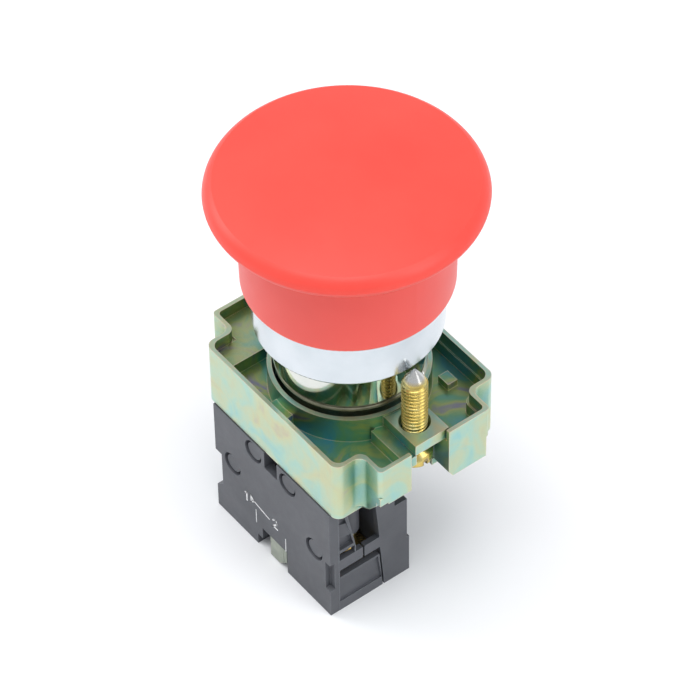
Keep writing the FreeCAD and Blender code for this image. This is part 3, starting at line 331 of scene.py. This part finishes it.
def plated_barrel():
    look = Look("plated_barrel", metallic=1.0)
    tone = look.ramp(look.noise(4, detail=3), [(0.3, (0.62, 0.64, 0.6)), (0.7, (0.72, 0.73, 0.68))])
    look.bump(look.noise(0.8, detail=3), depth_mm=0.006, strength=0.3)
    return look.wear(tone, look.span(look.noise(0.5, detail=3), 0.05, 0.13))


# Yellow chromate's tints on open faces, in broad clouds and in streaks, and the same tints painted darker
# in the tray's hollows as painted shade.
OPEN_FILM = [(0.3, (0.28, 0.56, 0.55)), (0.42, (0.38, 0.6, 0.5)), (0.52, (0.48, 0.59, 0.42)),
             (0.64, (0.56, 0.56, 0.32)), (0.76, (0.5, 0.42, 0.32))]
STREAKED_FILM = [(0.32, (0.34, 0.57, 0.54)), (0.52, (0.5, 0.6, 0.42)), (0.7, (0.58, 0.48, 0.27))]
# Painted shade: darker film tints for the hollows, where walls stand close by.
SHADED_FILM = [(0.3, (0.1, 0.3, 0.34)), (0.48, (0.15, 0.32, 0.2)), (0.6, (0.32, 0.38, 0.15)),
             (0.72, (0.2, 0.19, 0.33))]
# Painted highlight: a light tan painted along the zinc body's sharp edges.
EDGE_HIGHLIGHT = (0.78, 0.66, 0.5)


def zinc_body():
    """Yellow chromate on zinc: a thin film whose tint drifts between cyan, green, yellow and pink.  In the
    tray's hollows, where the light falls off, the film's tints are painted darker: painted shade."""
    look = Look("zinc_body", metallic=0.8)
    broad = look.noise(7, detail=3, roughness=0.5, warp=1.2)
    upright = look.stretched((1.0, 1.0, 0.3))
    streaks = look.noise(2.4, detail=3, roughness=0.6, warp=0.4, where=upright)
    fine = look.noise(0.9, detail=4, roughness=0.6)
    film = look.ramp(broad, OPEN_FILM)
    streak = look.ramp(streaks, STREAKED_FILM)
    outside = look.mix(look.span(fine, 0.1, 0.4), film, streak)
    shaded_film = look.ramp(broad, SHADED_FILM)
    # Painted shade: the film turns to its darker tints where walls stand close by.
    tone = look.mix(look.hollow_shade(reach_mm=9), outside, shaded_film)
    # Painted highlight along the sharp edges.
    tone = look.mix(look.edges(width_mm=0.3), tone, EDGE_HIGHLIGHT)
    look.bump(look.noise(0.35, detail=4, roughness=0.6), depth_mm=0.012, strength=0.6)
    return look.wear(tone, look.span(fine, 0.26, 0.4))


def gold_screw():
    """Yellow chromate on the shank and the head, and bare metal on the point above the thread."""
    look = Look("gold_screw", metallic=1.0)
    tints = [(0.3, (0.5, 0.38, 0.1)), (0.55, (0.62, 0.47, 0.14)), (0.75, (0.5, 0.5, 0.25))]
    tone = look.ramp(look.noise(2.2, detail=4), tints)
    tone = look.mix(look.height(-1.0, -0.4), tone, (0.6, 0.6, 0.58))
    look.bump(look.noise(0.2, detail=3), depth_mm=0.008, strength=0.5)
    return look.wear(tone, look.span(look.noise(0.6, detail=3), 0.2, 0.34))


def bright_metal(name, dark, light, smooth, rough, grain_mm=0.3):
    """Metal that drifts between two colours and two roughnesses, with a fine grain."""
    look = Look(name, metallic=1.0)
    tone = look.ramp(look.noise(2, detail=4), [(0.3, dark), (0.7, light)])
    look.bump(look.noise(grain_mm, detail=3), depth_mm=0.008, strength=0.5)
    return look.wear(tone, look.span(look.noise(0.7, detail=3), smooth, rough))


def brass_contact():
    return bright_metal("brass_contact", (0.62, 0.42, 0.14), (0.78, 0.58, 0.24), 0.18, 0.34)


def silver_tip():
    return bright_metal("silver_tip", (0.78, 0.78, 0.76), (0.88, 0.88, 0.86), 0.2, 0.32)


def steel_shaft():
    return bright_metal("steel_shaft", (0.46, 0.46, 0.46), (0.6, 0.6, 0.6), 0.2, 0.36)


def spring_steel():
    return bright_metal("spring_steel", (0.34, 0.34, 0.34), (0.48, 0.48, 0.48), 0.22, 0.38, 0.15)


def dark_steel():
    return bright_metal("dark_steel", (0.16, 0.16, 0.11), (0.26, 0.25, 0.18), 0.3, 0.45)


def terminal_steel():
    return bright_metal("terminal_steel", (0.55, 0.5, 0.3), (0.7, 0.66, 0.44), 0.22, 0.38)


def latch_zinc():
    return bright_metal("latch_zinc", (0.3, 0.33, 0.28), (0.42, 0.45, 0.38), 0.34, 0.5)


MAKERS = [red_plastic, black_plastic, grey_plastic, grey_plastic_printed, white_print, red_plunger, rubber,
          chrome_ring, plated_barrel, zinc_body, gold_screw, brass_contact, silver_tip, steel_shaft,
          spring_steel, dark_steel, terminal_steel, latch_zinc]
looks = {maker.__name__: maker() for maker in MAKERS}
for node, cad_object in frame["nodes"].items():
    cad_object.data.materials.clear()
    cad_object.data.materials.append(looks[slot_of[node]])

# Pieces ---------------------------------------------------------------------------------------

# Millimetres and degrees.  ROUNDING is how wide each softened node's rounded edges are.
WELD_DISTANCE = 0.001
FLAT_ANGLE = 1.0
ROUNDED_ANGLE = 28
ROUNDING_SEGMENTS = 2
ROUNDING = {"mounting_body": 0.16, "contact_housing": 0.12, "contact_cover": 0.12, "block_latch": 0.08}


def new_piece(name, mesh, finish):
    piece = bpy.data.objects.new(name, mesh)
    bpy.context.scene.collection.objects.link(piece)
    piece.data.materials.clear()
    piece.data.materials.append(looks[finish])
    return piece


def stand_for(piece, node):
    """The piece is shown in the CAD node's place, on the node's body."""
    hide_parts(node)
    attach(piece, body_of[node])


def welded(node):
    """A copy of a CAD node's mesh to work on, in which points that lie together are one."""
    work = bmesh.new()
    work.from_mesh(frame["nodes"][node].data)
    bmesh.ops.remove_doubles(work, verts=work.verts, dist=WELD_DISTANCE * MM)
    return work


def written(work, name):
    mesh = bpy.data.meshes.new(name)
    work.to_mesh(mesh)
    work.free()
    return mesh


def apply_modifiers(piece):
    seen = piece.evaluated_get(bpy.context.evaluated_depsgraph_get())
    mesh = bpy.data.meshes.new_from_object(seen)
    piece.modifiers.clear()
    piece.data = mesh


def softened(node, width_mm):
    """A copy of a CAD node with its sharp edges rounded."""
    work = welded(node)
    bmesh.ops.dissolve_limit(work, angle_limit=math.radians(FLAT_ANGLE), verts=work.verts, edges=work.edges)
    piece = new_piece(node + "_soft", written(work, node + "_soft"), slot_of[node])
    bevel = piece.modifiers.new("round", "BEVEL")
    bevel.width = width_mm * MM
    bevel.segments = ROUNDING_SEGMENTS
    bevel.limit_method = "ANGLE"
    bevel.angle_limit = math.radians(ROUNDED_ANGLE)
    bevel.use_clamp_overlap = True
    apply_modifiers(piece)
    piece.data.shade_smooth()
    even = piece.modifiers.new("even", "WEIGHTED_NORMAL")
    even.keep_sharp = False
    apply_modifiers(piece)
    stand_for(piece, node)


for node, width_mm in ROUNDING.items():
    softened(node, width_mm)

# Clamp screws ---------------------------------------------------------------------------------

SCREW_X = 15.06
SCREW_PITCH = 0.7
SCREW_ROOT = 1.6
SCREW_OUTER = 1.93
THREAD_LOW = -14.9
THREAD_HIGH = -1.0
THREAD_INTO_HEAD = 0.05
CREST_RISE = 1.6
FLANK_SLOPE = 3.4
TIP_Z = 0.95
TIP_RADIUS = 0.25
RING_POINTS = 48
RINGS_PER_TURN = 12
TIP_RINGS = 6
CREASE_ANGLE = 40


def thread_radius(z, share):
    """The radius at a height and a share of the way round: it follows the helix, which fades at the top."""
    phase = ((z - THREAD_LOW) / SCREW_PITCH - share) % 1.0
    crest = min(1.0, max(0.0, CREST_RISE - FLANK_SLOPE * abs(phase - 0.5)))
    fade = min(1.0, (THREAD_HIGH - z) / SCREW_PITCH)
    return SCREW_ROOT + (SCREW_OUTER - SCREW_ROOT) * crest * fade


def add_ring(work, centre_x, z, radii):
    """Points round an upright axis, one for each radius."""
    ring = []
    for spot, radius in enumerate(radii):
        turn = TURN * spot / len(radii)
        x = centre_x + radius * math.cos(turn)
        y = radius * math.sin(turn)
        ring.append(work.verts.new((x * MM, y * MM, z * MM)))
    return ring


def threaded_shank(work, centre_x):
    """Rings up the screw, joined into a skin, through the thread and to the point."""
    rings = []
    steps = int((THREAD_HIGH - THREAD_LOW) / SCREW_PITCH * RINGS_PER_TURN)
    for step in range(steps + 1):
        z = THREAD_LOW + (THREAD_HIGH - THREAD_LOW) * step / steps
        radii = [thread_radius(z, spot / RING_POINTS) for spot in range(RING_POINTS)]
        rings.append(add_ring(work, centre_x, z, radii))
    for step in range(1, TIP_RINGS + 1):
        share = step / TIP_RINGS
        radius = SCREW_ROOT + (TIP_RADIUS - SCREW_ROOT) * share
        z = THREAD_HIGH + (TIP_Z - THREAD_HIGH) * share
        rings.append(add_ring(work, centre_x, z, [radius] * RING_POINTS))
    for low, high in zip(rings, rings[1:]):
        for spot in range(RING_POINTS):
            after = (spot + 1) % RING_POINTS
            work.faces.new((low[spot], low[after], high[after], high[spot]))
    work.faces.new(rings[-1])
    work.faces.new(list(reversed(rings[0])))


def clamp_screw(node, centre_x):
    """The CAD screw's head, with a shank whose thread is a real helix."""
    work = welded(node)
    everything = work.verts[:] + work.edges[:] + work.faces[:]
    cut = (0, 0, (THREAD_LOW + THREAD_INTO_HEAD) * MM)
    bmesh.ops.bisect_plane(work, geom=everything, plane_co=cut, plane_no=(0, 0, 1), clear_outer=True)
    threaded_shank(work, centre_x)
    mesh = written(work, node + "_threaded")
    mesh.shade_smooth()
    mesh.set_sharp_from_angle(angle=math.radians(CREASE_ANGLE))
    stand_for(new_piece(node + "_threaded", mesh, slot_of[node]), node)


clamp_screw("clamp_screw_near", SCREW_X)
clamp_screw("clamp_screw_far", -SCREW_X)

# Printing on the block: terminal numbers and a plain contact symbol ---------------------------

PRINT_FACE = -14.7
PRINT_THICK = 0.02
STROKE_END_STEPS = 8

# Each print: the width of its strokes, and the lines that they follow as x and z on the printed face.
PRINTING = {
    "print_number_1": (0.3, [[(-6.65, -34.5), (-6.3, -34.2), (-6.3, -36.0)]]),
    "print_number_2": (0.3, [[(0.1, -34.65), (0.35, -34.3), (0.75, -34.25), (1.05, -34.55), (0.95, -35.0),
                              (0.1, -36.0), (1.15, -36.0)]]),
    "print_contact": (0.24, [[(-5.3, -34.0), (-4.5, -34.75), (-5.2, -35.3), (-5.3, -34.0)],
                             [(-4.9, -34.6), (-0.85, -35.35)]]),
    "print_terminal_lines": (0.16, [[(-4.1, -36.2), (-4.1, -39.0)], [(3.1, -36.3), (3.1, -39.0)]]),
}


def stroke_end(tip, along, side):
    """Half a circle of points round one end of a stroke."""
    turns = [math.pi * step / STROKE_END_STEPS for step in range(STROKE_END_STEPS + 1)]
    return [tip + along * math.sin(turn) - side * math.cos(turn) for turn in turns]


def add_stroke(work, start, end, width):
    """A flat bar with round ends, standing on the printed face."""
    along = Vector((end[0] - start[0], end[1] - start[1])).normalized() * width / 2
    side = Vector((-along.y, along.x))
    outline = stroke_end(Vector(end), along, side) + stroke_end(Vector(start), -along, -side)
    outer_y = (PRINT_FACE - PRINT_THICK) * MM
    face = work.faces.new([work.verts.new((point.x * MM, outer_y, point.y * MM)) for point in outline])
    raised = bmesh.ops.extrude_face_region(work, geom=[face])["geom"]
    moved = [part for part in raised if isinstance(part, bmesh.types.BMVert)]
    bmesh.ops.translate(work, vec=(0, PRINT_THICK * MM, 0), verts=moved)


def printed(name, width, lines):
    """Strokes along the lines, a little proud of the printed face."""
    work = bmesh.new()
    for line in lines:
        for start, end in zip(line, line[1:]):
            add_stroke(work, start, end, width)
    bmesh.ops.recalc_face_normals(work, faces=work.faces)
    piece = new_piece(name, written(work, name), "white_print")
    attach(piece, body_of["contact_cover"])


for name, (width, lines) in PRINTING.items():
    printed(name, width, lines)

# Scene ----------------------------------------------------------------------------------------

add_camera()
add_studio(cad_box[0].z)
